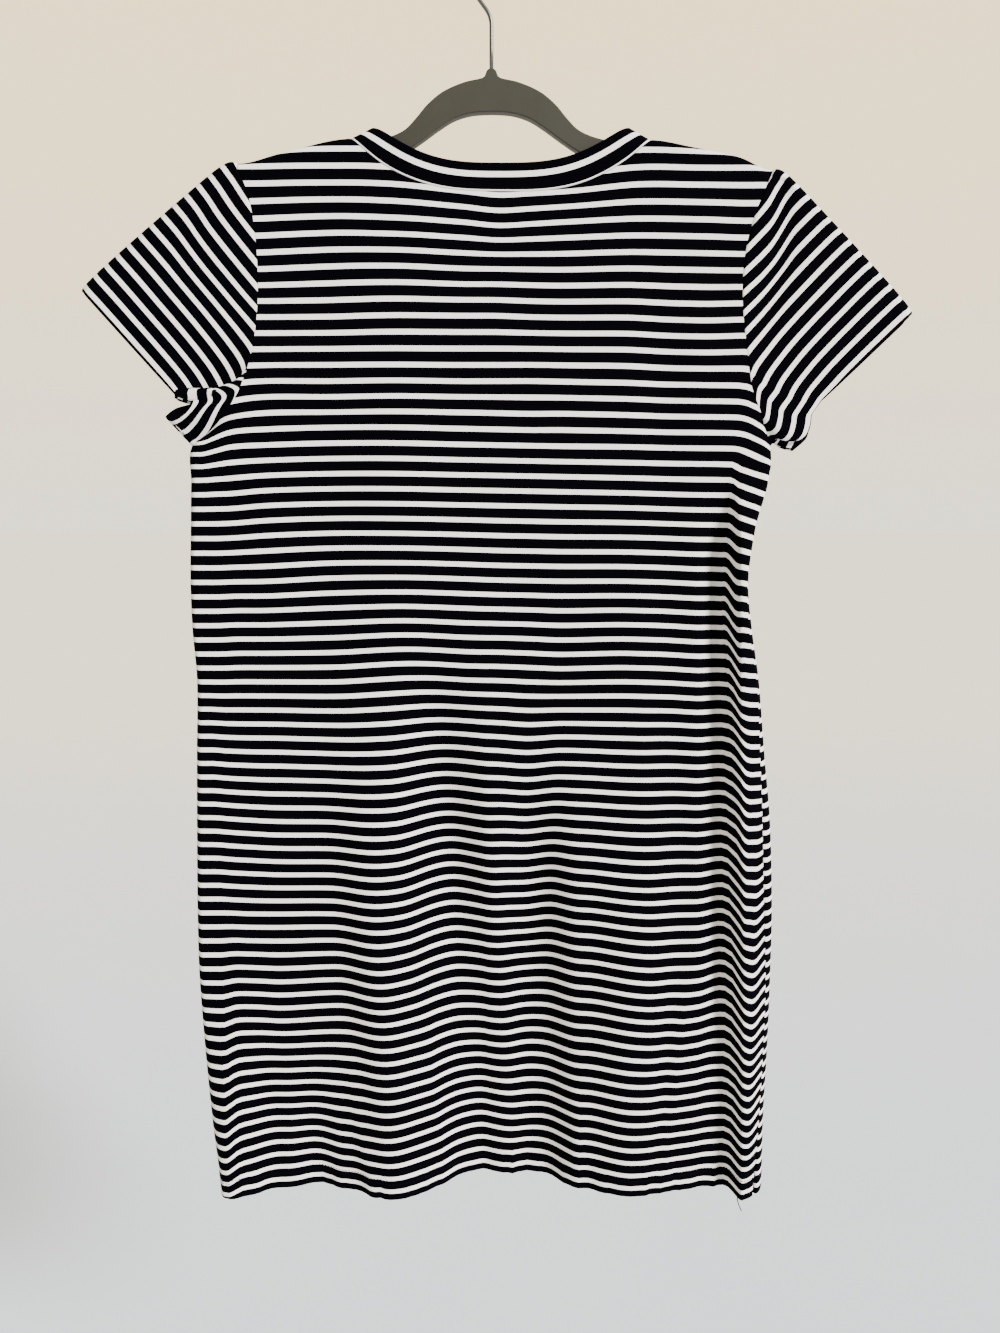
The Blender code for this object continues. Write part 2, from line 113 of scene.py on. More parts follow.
body = {
    "armpit": -382.0, "hem": -1061.0,
    "neckMiddle": 7.5, "neckHalf": 122.5,
    "neckDrop": {-1: 43.4, 1: 88.0}, "neckPower": {-1: 3.1, 1: 2.5}, "neckRounding": 1.1,
    "shoulderDepth": 8.0, "depthBelow": {-1: 20.0, 1: 24.0}, "depthFrom": -200.0, "depthTo": -620.0,
    "turn": 8.0, "shoulderTurn": 7.0, "turnPath": 13.0, "cornerGap": 1.6, "depthRun": 3.0,
    "topSteps": (0.0, 1.2, 4.0, 8.0, 13.0),
    "sideSteps": (0.0, 1.5, 5.0, 10.0, 16.0, 24.0, 38.0, 64.0),
    "neckColumns": 18, "neckCrowding": 0.65, "armholeRows": 14, "skirtRows": 20,
    "evenFrom": 5, "evenStep": 14.0, "eveningRows": 6, "turnRows": 1.5,
    "columnSplit": 4, "armholeSplit": 4, "skirtSplit": 8,
    "widths": (
        Width(-150, -206, 230, 230), Width(-162, -205, 228, 228), Width(-180, -198, 221, 221),
        Width(-202, -194, 213, 213), Width(-232, -192, 207, 207), Width(-268, -193, 207, 207),
        Width(-305, -199, 212, 212), Width(-335, -210, 217, 217), Width(-352, -221, 224, 224),
        Width(-368, -236, 230, 230), Width(-382, -254, 235, 235), Width(-411, -256, 234, 235),
        Width(-453, -258, 222, 224), Width(-495, -260, 215, 219), Width(-537, -260, 217, 224),
        Width(-580, -258, 226, 232), Width(-645, -261, 232, 240), Width(-710, -264, 237, 248),
        Width(-790, -267, 242, 253), Width(-856, -268, 246, 254), Width(-926, -265, 246, 254),
        Width(-994, -260, 244, 253), Width(-1061, -254, 241, 254)),
    "shoulders": (
        Shoulder(-206, -156.5), Shoulder(-172, -149.0), Shoulder(-115, -137.5),
        Shoulder(130, -138.5), Shoulder(161, -143.5), Shoulder(201, -151.5),
        Shoulder(230, -161.5)),
    "edgeDepths": (
        EdgeDepth(-150, 0, 0), EdgeDepth(-382, 0, -2), EdgeDepth(-560, -1, -4),
        EdgeDepth(-860, -5, -6), EdgeDepth(-1061, -18, -6)),
    # Waves of the cloth: where each starts and is full, its middle, its two flanks and its height
    "folds": {
        -1: (
            Fold(-820, -1061, -244, -242, 30, 46, 16), Fold(-900, -1061, -163, -163, 28, 28, -8),
            Fold(-560, -900, -108, -90, 44, 46, 16), Fold(-510, -760, -52, -19, 45, 45, -23),
            Fold(-620, -800, 38, 42, 42, 42, -23), Fold(-640, -900, 9, 9, 38, 38, -12),
            Fold(-600, -900, 130, 128, 50, 62, 13), Fold(-760, -960, 180, 176, 24, 24, 5),
            Fold(-395, -470, 207, 228, 8, 34, 17), Fold(-395, -480, 196, 214, 26, 10, -9),
            Fold(-850, -930, 213, 212, 22, 14, 6), Fold(-180, -340, 140, 172, 30, 30, -3),
            Fold(-200, -350, -80, -120, 60, 60, 2.5)),
        1: (
            Fold(-860, -1061, -248, -250, 40, 40, -12), Fold(-620, -1000, -150, -140, 44, 44, 7),
            Fold(-520, -900, -70, -62, 40, 40, -5), Fold(-560, -980, 14, 22, 46, 46, 8),
            Fold(-480, -900, 96, 104, 38, 38, -6), Fold(-600, -1000, 168, 176, 36, 36, 7)),
    },
    # Creases finer than the folds, each from its top to its end, and how they start and fade out
    "creaseStart": 2.5, "creasePast": 0.15, "creasePower": 1.5,
    "creases": {
        -1: (
            Crease(-880, -1061, -140, -112, 9, 2.2), Crease(-860, -1061, -62, -45, 8, 2.6),
            Crease(-950, -1061, 82, 76, 8, 2.4), Crease(-820, -1040, 178, 160, 9, 2.4),
            Crease(-420, -1061, -7, -2, 3.5, 0.8), Crease(-400, -620, 178, 205, 12, -2.0),
            Crease(-384, -430, -236, -190, 12, 1.4)),
        1: (
            Crease(-900, -1061, -118, -126, 9, 2.0), Crease(-820, -1061, 40, 52, 9, 2.2),
            Crease(-930, -1061, 132, 124, 8, 2.0), Crease(-420, -1061, -2, 2, 3.5, 0.8),
            Crease(-390, -480, -232, -170, 14, 1.4), Crease(-390, -500, 212, 160, 14, 1.4)),
    },
    # How far the stripes sag below level, at each of these places across. A row's last number
    # holds for the places that follow.
    "sagPlaces": (-245, -232, -219, -190, -135, -80, -24, 5, 32, 60, 115, 170, 205, 209, 213, 217, 221,
                  226, 234, 247),
    "sags": {
        -1: (
            Sag(-140, (-5, -5, -5, -5, -6, -5, 2, 5, 3, 1, -5, -4)),
            Sag(-165, (-5, -5, -5, -5, -5.5, -4.5, 2, 5, 4, 2.5, -4)),
            Sag(-202, (-2, -2, -2, -2.5, -4.5, -3.5, 0, 3, 1.7, 0, -2.5, -2, -1, -1, -1, -1, -1, 0)),
            Sag(-238, (-1, -1, -1, -1, -3, -3.5, -1.5, -1, -0.7, -0.5, -1.5, -0.5, 0)),
            Sag(-275, (-1, -1, -1, -0.7, -1, -2, -1.7, -1.6, -0.7, -0.2, -0.2, 1.8, 1.3, 1.3, 1.3,
                       1.5, 2, 2.5, 3, 4)),
            Sag(-311, (1.5, 1.5, 1, 0.3, 0, 0, 0, 0, 0, 0.3, 0.8, 2.8, 2.5, 2.5, 2.8, 3.5, 4, 5, 7, 9)),
            Sag(-334, (12, 8, 4, 1, 1, 0.5, 1, 1, 1, 1.5, 2.5, 4, 4.5, 5, 5.5, 7, 8.5, 10, 13, 16)),
            Sag(-350, (20, 11, 5.5, 1.5, 1, 0.5, 1, 1.5, 2, 2, 3, 4.5, 5, 5.5, 6.3, 8, 9.5, 12, 16,
                       22)),
            Sag(-367, (20, 11, 5, 2.5, 1, 1, 2, 2.5, 3, 3, 4, 5, 5.5, 6, 7, 8.5, 10.5, 13, 18, 24)),
            Sag(-384, (12, 8, 4.5, 3, 1.5, 1.5, 2.5, 3, 3.5, 4, 4.5, 5.5, 6, 7, 8, 9.5, 11, 13, 17,
                       21)),
            Sag(-400, (8, 6.5, 5, 3, 1.5, 1.5, 2.5, 3, 3.5, 4, 5, 6, 6.5, 7, 9.8, 10.8, 12, 13.5,
                       15.5, 18)),
            Sag(-421, (6.5, 6, 5.5, 3, 1.5, 1.5, 2.5, 3, 3.5, 4, 5, 6.5, 6.8, 7, 11, 12.5, 14, 15.5,
                       18, 20)),
            Sag(-457, (5.5, 5.5, 5, 3, 1, 1, 2.2, 3, 3.5, 4, 4.5, 6.2, 7, 7.3, 13, 14.5, 15.7, 17,
                       19, 21)),
            Sag(-494, (5, 5, 4.5, 4, 1.3, 0.5, 2, 3, 3.5, 4, 4, 6, 7.2, 7.5, 15.8, 16.7, 17.5, 18.5,
                       19.7, 21)),
            Sag(-567, (3.5, 3.5, 3, 3, 2.5, -0.5, 1.5, 2, 3, 4, 3, 5.5, 7, 7.3, 18.5, 19.2, 20, 20.7,
                       22, 23)),
            Sag(-640, (0.5, 1.5, 2, 2.5, 3.5, 2, 0, 1, 3, 1, 2.5, 3.8, 5, 5.5, 12, 17, 19, 20, 21, 22)),
            Sag(-712, (-1, 0, 1, 2.6, 2.8, 3, 0.5, 0, 3.7, -0.8, 0.8, 2.3, 3, 3.5, 5, 12, 16, 17, 18,
                       14)),
            Sag(-760, (-1, 0, 0.7, 1.7, 1.6, 1.7, -0.8, 0, 4.5, -1.5, 0.4, 2.5, 2, 2.5, 3.5, 9, 14,
                       15.5, 17, 11)),
            Sag(-800, (0.5, 0.5, 1, 1, 0.2, 0, -1, -0.8, 3.7, -2.8, -2, 2, 1, 1.5, 2, 5, 12, 14, 16,
                       8)),
            Sag(-850, (3.5, 1.5, 1.8, 3, 0.2, -0.8, -1, -0.5, 1, -3.5, -2.8, 2, 0.5, 0.5, 1, 2, 8,
                       13, 15, 6)),
            Sag(-900, (6, 1.5, 1.5, 3.7, 0, -2, 0.5, 0.8, 0, -2.4, -3.8, 1.5, 0, 0, 0, 1, 4, 10,
                       13.5, 5)),
            Sag(-950, (8, 1.5, 1.2, 1.8, 1.1, -1.5, 0, 0, 0, -1.2, -2, 1, 0, 0, 0, 1, 2.5, 7, 9.5, 0)),
            Sag(-1000, (9, 0.5, -0.5, -1, 2, -1.5, -1.5, -1, 1, -2, -1, 0.5, 0, 0, 0, 0.5, 1.5, 4, 6,
                        -3)),
            Sag(-1040, (7, 0, -0.4, -1, 1, -0.8, -0.8, -0.8, -0.8, -1, -0.5, 0, 0, 0, 0, 0, 0.5, 1.5,
                        2, -2)),
            Sag(-1061, (4, 0))),
        1: (
            Sag(-140, (1, 1, 1, 1, 2, 3, 4, 4, 4, 3, 2, 1)),
            Sag(-330, (6, 4, 3, 2, 1, 1, 0.5, 0.5, 1, 1, 1.5, 2, 3, 3, 3, 3, 3, 3, 4, 5)),
            Sag(-620, (2, 2, 2, 2, 1.5, 1, 1, 1, 1, 1, 2, 3, 5, 6, 7, 8, 9, 10, 11, 12)),
            Sag(-850, (1, 1, 1, 1, 1, 1, 1, 1, 1, 1, 1, 2, 4, 5, 6, 7, 8, 9, 10)),
            Sag(-1061, (0, 0, 0, 0, 0, 0, 0, 0, 0, 0.5, 1, 1.5, 2, 2, 2, 1, 1, 0))),
    },
    # How far left of its place in the table the step beside the right fold lies
    "stepShifts": (
        StepShift(-384, 0), StepShift(-400, 6), StepShift(-421, 6.7), StepShift(-457, 8),
        StepShift(-521, 7.5), StepShift(-567, 4), StepShift(-600, 2.3), StepShift(-640, 0)),
    "stepFrom": 185.0, "stepOver": 15.0,
    "hemRippleDepth": 30.0, "hemRippleRun": 1.6,
    "hemRipples": (Ripple(0.085, 7.0, 0.0, 1.98), Ripple(0.19, 3.0, 5.0, 1.188)),
    "rumple": 0.7, "rumpleSize": 42.0, "rumpleTall": 1.7, "rumpleSeed": 9.0,
}

leftEdge = Line(body["widths"], "z", "left")
seamEdge = Line(body["widths"], "z", "seam")
rightEdge = Line(body["widths"], "z", "right")
shoulderLine = Line(body["shoulders"], "x", "z")
leftDepth = Line(body["edgeDepths"], "z", "left")
rightDepth = Line(body["edgeDepths"], "z", "right")
stepShift = Line(body["stepShifts"], "z", "shift")


def sagLine(side):
    # Heights, and at each the sags at all places.
    rows, count = body["sags"][side][::-1], len(body["sagPlaces"])
    drops = [Vector(row.drops + row.drops[-1:] * (count - len(row.drops))) for row in rows]
    return [row.z for row in rows], drops


sagLines = {side: sagLine(side) for side in body["sags"]}


def foldHeight(side, x, z):
    height = 0.0
    for fold in body["folds"][side]:
        run = (fold.top - z) / (fold.top - fold.full)
        if run <= 0:
            continue
        along = smooth((fold.top - z) / (fold.top - body["hem"]))
        off = x - blend(fold.xTop, fold.xHem, along)
        off = abs(off) / (fold.right if off > 0 else fold.left)
        if off < 1:
            height += fold.rise * smooth(run) * 0.5 * (1 + math.cos(math.pi * off))
    return height


def creaseHeight(side, x, z):
    # Soft ridges, and troughs where the rise is negative, that fade in from their tops.
    height, past = 0.0, body["creasePast"]
    for crease in body["creases"][side]:
        run = (crease.top - z) / (crease.top - crease.end)
        if 0 < run < 1 + past:
            off = (x - blend(crease.xTop, crease.xEnd, run)) / crease.wide
            fade = smooth(run * body["creaseStart"]) * smooth((1 + past - run) / past)
            height += crease.rise * fade / (1 + off * off) ** body["creasePower"]
    near = 1 - (z - body["hem"]) / body["hemRippleDepth"]
    if near > 0:
        wave = sum(ripple.strength * noise.noise((x * ripple.fineness, side * ripple.seed, ripple.level))
                   for ripple in body["hemRipples"])
        height += wave * smooth(near * body["hemRippleRun"])
    size = body["rumpleSize"]
    place = (x / size, side * body["rumpleSeed"], z / size / body["rumpleTall"])
    return height + body["rumple"] * noise.noise(place)


def bodyDepth(side, x, z):
    fall = smooth((body["depthFrom"] - z) / (body["depthFrom"] - body["depthTo"]))
    plain = blend(body["shoulderDepth"], body["depthBelow"][side], fall)
    return side * (plain + foldHeight(side, x, z) + creaseHeight(side, x, z))


def neckLine(side, x):
    off = min(1.0, abs(x - body["neckMiddle"]) / body["neckHalf"])
    fall = (1 - off ** body["neckPower"][side]) ** body["neckRounding"]
    return shoulderLine(x) - body["neckDrop"][side] * fall


def fromTop(side, xTop, path):
    # Height, and share of the full depth, at a length of cloth below the top of a column.
    ridge, turn = shoulderLine(xTop), body["shoulderTurn"]
    inNeck = abs(xTop - body["neckMiddle"]) < body["neckHalf"]
    drop = ridge - neckLine(side, xTop) if inNeck else 0.0
    if drop >= turn:
        return ridge - drop - path, 1.0
    angle = math.acos(1 - drop / turn) + path / body["turnPath"] * math.pi / 2
    if angle < math.pi / 2:
        return ridge - turn * (1 - math.cos(angle)), math.sin(angle)
    spare = (angle - math.pi / 2) / (math.pi / 2) * body["turnPath"]
    return ridge - turn - spare, 1.0


def neckOffset(column):
    even = 2 * column / body["neckColumns"] - 1
    return even + body["neckCrowding"] * (math.sin(even * math.pi / 2) - even)


def columnShares():
    left, right = body["widths"][0].left, body["widths"][0].right
    places = [left + step for step in body["sideSteps"]]
    places += [body["neckMiddle"] + body["neckHalf"] * neckOffset(i)
               for i in range(body["neckColumns"] + 1)]
    places += [right - step for step in reversed(body["sideSteps"])]
    return [(place - left) / (right - left) for place in places]


shares = columnShares()
lastColumn = len(shares) - 1
firstNeck = len(body["sideSteps"])
lastNeck = firstNeck + body["neckColumns"]


def besideArmhole(side, column, row):
    # A point above the armpit, where the panel ends in the armhole's edge.
    edges = body["widths"][0]
    xTop = blend(edges.left, edges.right, stepAt(shares, column))
    turnRows = len(body["topSteps"]) - 1
    if row <= turnRows:
        z, share = fromTop(side, xTop, stepAt(body["topSteps"], row))
    else:
        zStart, share = fromTop(side, xTop, body["topSteps"][-1])
        run = (row - turnRows) / (body["armholeRows"] - turnRows)
        z = blend(zStart, body["armpit"], run)
        share += (1 - share) * smooth(run * body["depthRun"])
    x = blend(leftEdge(z), rightEdge(z), stepAt(shares, column))
    return Vector((x, bodyDepth(side, x, z) * share, z))


def besideSeam(side, column, z):
    # A point below the armpit, where the cloth turns at both sides to meet the other panel.
    onLeft = column < lastColumn / 2
    edge = leftEdge(z) if onLeft else rightEdge(z)
    edgeDepth = leftDepth(z) if onLeft else rightDepth(z)
    fromSeam = column if onLeft else lastColumn - column
    if fromSeam <= firstNeck - 1:
        path = stepAt(body["sideSteps"], fromSeam)
    else:
        path = fromSeam * body["evenStep"]
    seamIn = 0.0 if onLeft else abs(edge - seamEdge(z))
    full = math.pi / 2
    angle = -side * math.acos(1 - seamIn / body["turn"]) + path / body["turnPath"] * full
    if angle < full:
        reach, share = body["turn"] * (1 - math.cos(angle)), math.sin(angle)
    else:
        reach, share = body["turn"] + (angle - full) / full * body["turnPath"], 1.0
    x = edge + (reach if onLeft else -reach)
    depth = bodyDepth(side if share >= 0 else -side, x, z)
    return Vector((x, blend(edgeDepth, depth, abs(share)), z))


def bodyRow(side, row, columns):
    armhole = body["armholeRows"]
    if row <= armhole:
        points = [besideArmhole(side, column, row) for column in columns]
        turned = smooth((row - armhole + body["turnRows"]) / body["turnRows"])
        if turned > 0:
            points = [p.lerp(besideSeam(side, c, p.z), turned) for p, c in zip(points, columns)]
    else:
        z = blend(body["armpit"], body["hem"], (row - armhole) / body["skirtRows"])
        points = [besideSeam(side, column, z) for column in columns]
    if row < armhole - body["turnRows"]:
        return points
    first, last = body["evenFrom"], lastColumn - body["evenFrom"]
    inner = [i for i, column in enumerate(columns) if first <= column <= last]
    start, end = points[inner[0]].x, points[inner[-1]].x
    low, high = shares[first], shares[last]
    evened = smooth((row - armhole) / body["eveningRows"])
    for i in inner[1:-1]:
        above = (stepAt(shares, columns[i]) - low) / (high - low)
        even = (columns[i] - first) / (last - first)
        x = blend(start, end, blend(above, even, evened))
        height = points[i].z
        points[i] = Vector((x, bodyDepth(side, x, height), height))
    return points


def drawBack(row, edge, inner, gap):
    row[edge] = row[edge] + (row[inner] - row[edge]).normalized() * gap / 2


def stripeAt(side, point):
    # Place in the stripes of a point on the body, in millimetres down from a white stripe's top.
    drops = through(*sagLines[side], point.z)
    x = point.x + stepShift(point.z) * smooth((point.x - body["stepFrom"]) / body["stepOver"])
    return cloth["stripeStart"] - point.z - through(body["sagPlaces"], drops, x)


def panel(side):
    # Rows of outer points, and of each point's place in the cloth.
    columns = [i / body["columnSplit"] for i in range(lastColumn * body["columnSplit"] + 1)]
    rows = [i / body["armholeSplit"] for i in range(body["armholeRows"] * body["armholeSplit"])]
    rows += [body["armholeRows"] + i / body["skirtSplit"]
             for i in range(body["skirtRows"] * body["skirtSplit"] + 1)]
    grid = [bodyRow(side, row, columns) for row in rows]
    for number, row in enumerate(rows):
        near = max(0.0, 1 - abs(row - body["armholeRows"]))
        gap = blend(cloth["seamGap"], body["cornerGap"], near)
        drawBack(grid[number], 0, 1, gap)
        drawBack(grid[number], -1, -2, gap)
    for number in range(len(columns)):
        edge = grid[0][number]
        edge += (grid[1][number] - edge).normalized() * cloth["seamGap"] / 2
    places = [[(point.x, stripeAt(side, point)) for point in row] for row in grid]
    return grid, places


def edgeNormals(grid, facing, column, closed):
    # Outward directions along the lower edge, on the side that is given for one column.
    count, normals = len(grid[0]), []
    for c in range(count):
        if closed:
            across = grid[-1][(c + 1) % (count - 1)] - grid[-1][(c - 1) % (count - 1)]
        else:
            across = grid[-1][min(count - 1, c + 1)] - grid[-1][max(0, c - 1)]
        down = grid[-1][c] - grid[-2][c]
        normals.append(across.cross(down).normalized())
    if normals[column].dot(facing) < 0:
        normals = [-normal for normal in normals]
    return normals


def upFrom(line, distance):
    # The place at a length of cloth above the lower end of a line of points, if it is that long.
    for low, high in zip(line[::-1], line[-2::-1]):
        span = (high - low).length
        if distance <= span:
            return low.lerp(high, distance / span)
        distance -= span
    return None


def turnUp(grid, places, facing, column, depth, closed=False, stretch=1.0):
    # Carries the cloth round its lower edge and back up inside, as a hem is turned.
    radius, edge = cloth["hemFold"], places[-1]
    normals = edgeNormals(grid, Vector(facing), column, closed)
    lines = [[row[column] for row in grid] for column in range(len(normals))]
    reaches = [sum((b - a).length for a, b in zip(line, line[1:])) - cloth["hemShort"] for line in lines]

    def addRow(points, lengths):
        grid.append(points)
        places.append([(u, v + length) for (u, v), length in zip(edge, lengths)])

    for step in range(1, cloth["foldSteps"] + 1):
        angle = math.pi * step / cloth["foldSteps"]
        points = []
        for line, normal in zip(lines, normals):
            down = (line[-1] - line[-2]).normalized()
            points.append(line[-1] + (down * math.sin(angle) - normal * (1 - math.cos(angle))) * radius)
        addRow(points, [cloth["foldLength"] * step / cloth["foldSteps"]] * len(points))
    for step in range(1, cloth["hemSteps"] + 1):
        ups = [min(depth, reach) * step / cloth["hemSteps"] for reach in reaches]
        points = [upFrom(line, up) - normal * 2 * radius for line, up, normal in zip(lines, ups, normals)]
        addRow(points, [cloth["foldLength"] + up * stretch for up in ups])


def newObject(name, work):
    # Makes an object of a bmesh.
    mesh = bpy.data.meshes.new(name)
    work.to_mesh(mesh)
    work.free()
    mesh.shade_smooth()
    piece = bpy.data.objects.new(name, mesh)
    bpy.context.scene.collection.objects.link(piece)
    return piece


def addSheet(name, grid, places, outward, thickness, closed=False):
    # A cloth wall on a grid of outer points, with its place in the cloth as a UV map in metres.
    rows, columns = len(grid) - 1, len(grid[0]) - 1
    work = bmesh.new()
    bmesh.ops.create_grid(work, x_segments=columns, y_segments=rows, size=1.0)
    clothMap = work.loops.layers.uv.new("cloth")
    spots = {}
    for vertex in work.verts:
        column = round((vertex.co.x + 1) / 2 * columns)
        row = round((vertex.co.y + 1) / 2 * rows)
        spots[vertex] = (row, column)
        vertex.co = grid[row][column] * mm
    for face in work.faces:
        for loop in face.loops:
            row, column = spots[loop.vert]
            u, v = places[row][column]
            loop[clothMap].uv = (u * mm, v * mm)
    if closed:
        bmesh.ops.remove_doubles(work, verts=work.verts, dist=1e-7)
    work.normal_update()
    facing = sum(face.normal.dot(outward(face.calc_center_median() / mm)) * face.calc_area()
                 for face in work.faces)
    if facing < 0:
        bmesh.ops.reverse_faces(work, faces=work.faces)
    piece = newObject(name, work)
    wall = piece.modifiers.new("wall", "SOLIDIFY")
    wall.thickness = thickness * mm
    wall.offset = -1.0
    wall.use_rim = True
    return piece


backGrid, backPlaces = panel(-1)
frontGrid, frontPlaces = panel(1)
bodyRows = len(backGrid)
print("panels drawn:", bodyRows, "rows of", len(backGrid[0]), "points")


# Sleeves

Cuff = namedtuple("Cuff", "row x y z farX farZ")
Bend = namedtuple("Bend", "row y z")
Pull = namedtuple("Pull", "row start shift edge")
sleeves = {
    "rows": 44, "headLength": 0.05, "headWidth": 60.0, "headGap": 0.5, "cuffDepth": 5.0,
    "tipLength": 18.0, "valleySharpness": 2.5, "valleyFull": 3.0, "outerRow": 7,
    "cornerRow": 11, "fineFrom": 10, "fineSplit": 12, "hemDepth": 24.0, "inside": 0.55,
    "left": {
        "column": 0, "top": (-340, -254), "corner": (-265, -339.5), "bow": 11.0, "farLonger": 1.4,
        # Points of the cuff that fold under the arm, by armhole row, and where the far side lies
        "folds": (
            Cuff(11, -265, -5.5, -339.5, 0, 0), Cuff(11.12, -264.5, -6, -341, 0, 0),
            Cuff(11.3, -264, -3, -335.5, 0, 0), Cuff(11.5, -257.5, -1.2, -334, 0, 0),
            Cuff(11.8, -252, -3.2, -339, 0, 0), Cuff(12.1, -252.5, -5.2, -346, 0, 1),
            Cuff(12.45, -256.5, -5.4, -352.5, 0, 6), Cuff(12.85, -261.5, -5, -356.5, 0, 8),
            Cuff(13.25, -266.5, -4, -359, 0, 8), Cuff(13.65, -271.5, -2.4, -360, 0, 5),
            Cuff(14, -275, 0, -359, 0, 0)),
        # How far the cloth between the armhole and the cuff leaves a straight line
        "bends": (
            Bend(8, 0, 0), Bend(10, 0.5, -3), Bend(11, 3.5, -11), Bend(11.12, 4, -12.5),
            Bend(11.3, -1, -6), Bend(11.5, -2, -5), Bend(11.9, 0, -4), Bend(12.4, 0, 0),
            Bend(13.2, 0, 0), Bend(14, 0, 0)),
        # Where the stripes run ahead near the armhole, how far, and how far the cuff's white reaches
        "pulls": (
            Pull(0, 100, 0, 6.4), Pull(4, 90, 0, 6.5), Pull(5, 70, 2.5, 6.6), Pull(6, 60, 3, 6.6),
            Pull(8, 60, 2.5, 6.6), Pull(10, 60, 0, 6.6), Pull(14, 60, 0, 6.6)),
        "pullWidth": 50.0, "valley": 0.5,
    },
    "right": {
        "column": -1, "top": (350, -272), "corner": (277, -343), "bow": 11.0, "farLonger": 1.8,
        "folds": (
            Cuff(11, 277, -5, -343, 0, 0), Cuff(11.3, 270.5, -5.8, -352.5, 0, 0),
            Cuff(11.45, 268.5, -6, -355.5, 0, 0), Cuff(12, 268, -6, -363, 0, 0),
            Cuff(12.6, 266, -5.5, -371, 0, -3), Cuff(13.1, 262.5, -4.5, -375, -5, -7),
            Cuff(13.6, 259, -2, -377, -5, -7), Cuff(14, 257, 0, -377.5, 0, 0)),
        "bends": (
            Bend(9, 0, 0), Bend(10.5, 0, -4), Bend(11.3, -1.5, -10), Bend(11.45, -1.5, -10.5),
            Bend(12, -1, -8), Bend(12.6, -1, -8), Bend(13.1, 0, -7), Bend(13.6, 0, -1),
            Bend(14, 0, 5)),
        "pulls": (
            Pull(0, 150, 0, 5.9), Pull(3, 150, 0.5, 6), Pull(4, 136, 3, 6.6), Pull(5, 112, 7, 6.8),
            Pull(6, 93, 7, 6.8), Pull(7, 83, 6, 6.8), Pull(8, 74, 4, 6.6), Pull(9, 66, 2, 6.2),
            Pull(10, 60, 0, 5.4), Pull(12, 60, 0, 5.2), Pull(13, 60, 0, 6), Pull(14, 60, 0, 6.4)),
        "pullWidth": 32.0, "valley": 2.4,
    },
}
ringRows = [i / 4 for i in range(sleeves["fineFrom"] * 4)]
ringRows += [sleeves["fineFrom"] + i / sleeves["fineSplit"]
             for i in range((body["armholeRows"] - sleeves["fineFrom"]) * sleeves["fineSplit"] + 1)]


def armholeRing(column):
    # Points round an armhole from the shoulder, down the back and up the front.
    split, sides = body["armholeSplit"], []
    for grid in (backGrid, frontGrid):
        edge = [grid[row][column] for row in range(body["armholeRows"] * split + 1)]
        sides.append([stepAt(edge, row * split) for row in ringRows])
    down, up = sides
    ring = [(down[0] + up[0]) / 2] + down[1:-1] + [(down[-1] + up[-1]) / 2] + up[-2:0:-1]
    return ring + ring[:1]


def cuffPoint(sleeve, row, share, far):
    # Where an armhole row's line meets the cuff, as x, depth and height.
    away = 1 if far else -1
    if row <= sleeves["cornerRow"]:
        top, corner = Vector(sleeve["top"]), Vector(sleeve["corner"])
        place = top.lerp(corner, share)
        turn = min(1.0, share * (corner - top).length / body["turn"])
        return Vector((place.x, away * sleeves["cuffDepth"] * math.sin(math.pi / 2 * turn), place.y))
    folds = sleeve["folds"]
    x, y, z, farX, farZ = through(
        [fold.row for fold in folds], [Vector(fold[1:]) for fold in folds], row)
    return Vector((x + farX, -y, z + farZ)) if far else Vector((x, y, z))


def sleeveGrid(sleeve):
    ring, half = armholeRing(sleeve["column"]), len(ringRows) - 1
    runs = [0.0]
    for above, below in zip(ring[:half], ring[1:half + 1]):
        runs.append(runs[-1] + (below - above).length)
    cornerRun = runs[ringRows.index(sleeves["cornerRow"])]
    bendY, bendZ = (Line(sleeve["bends"], "row", value) for value in ("y", "z"))
    pullStart, pullShift, cuffWhite = (
        Line(sleeve["pulls"], "row", value) for value in ("start", "shift", "edge"))
    steps = range(sleeves["rows"] + 1)
    grid, places = [[] for step in steps], [[] for step in steps]
    for index, start in enumerate(ring):
        number, far = min(index, 2 * half - index), index > half
        row = ringRows[number]
        away = 1 if far else -1
        end = cuffPoint(sleeve, row, min(1.0, runs[number] / cornerRun), far)
        bend = Vector((0, -away * bendY(row), bendZ(row)))
        reach = end - start
        upper = max(0.0, 1 - runs[number] / sleeves["headWidth"])
        gap = blend(cloth["seamGap"], sleeves["headGap"], upper)
        points = []
        for step in steps:
            share = step / sleeves["rows"]
            longer = sleeve["farLonger"] * far * min(1.0, runs[number] / sleeves["tipLength"])
            along = share + (gap * (1 - share) + longer * share) / reach.length
            point = start + reach * along + bend * (4 * share * (1 - share))
            head = math.sqrt(1 - share) * (1 - math.exp(-share / sleeves["headLength"]))
            point.z += sleeve["bow"] * head * upper
            points.append(point)
        lengths = [0.0]
        for outer, inner in zip(points[:0:-1], points[-2::-1]):
            lengths.append(lengths[-1] + (inner - outer).length)
        u = 2 * runs[half] - runs[number] if far else runs[number]
        for step, fromCuff in zip(steps, reversed(lengths)):
            pulled = (fromCuff - pullStart(row)) / sleeve["pullWidth"]
            sunk = sleeve["valley"] * min(1.0, pullShift(row) / sleeves["valleyFull"])
            points[step].y -= away * sunk * math.exp(-(sleeves["valleySharpness"] * (pulled - 0.5)) ** 2)
            grid[step].append(points[step])
            shift = pullShift(row) * smooth(pulled)
            places[step].append((u, cuffWhite(row) - fromCuff - shift))
    return grid, places


# Neckband

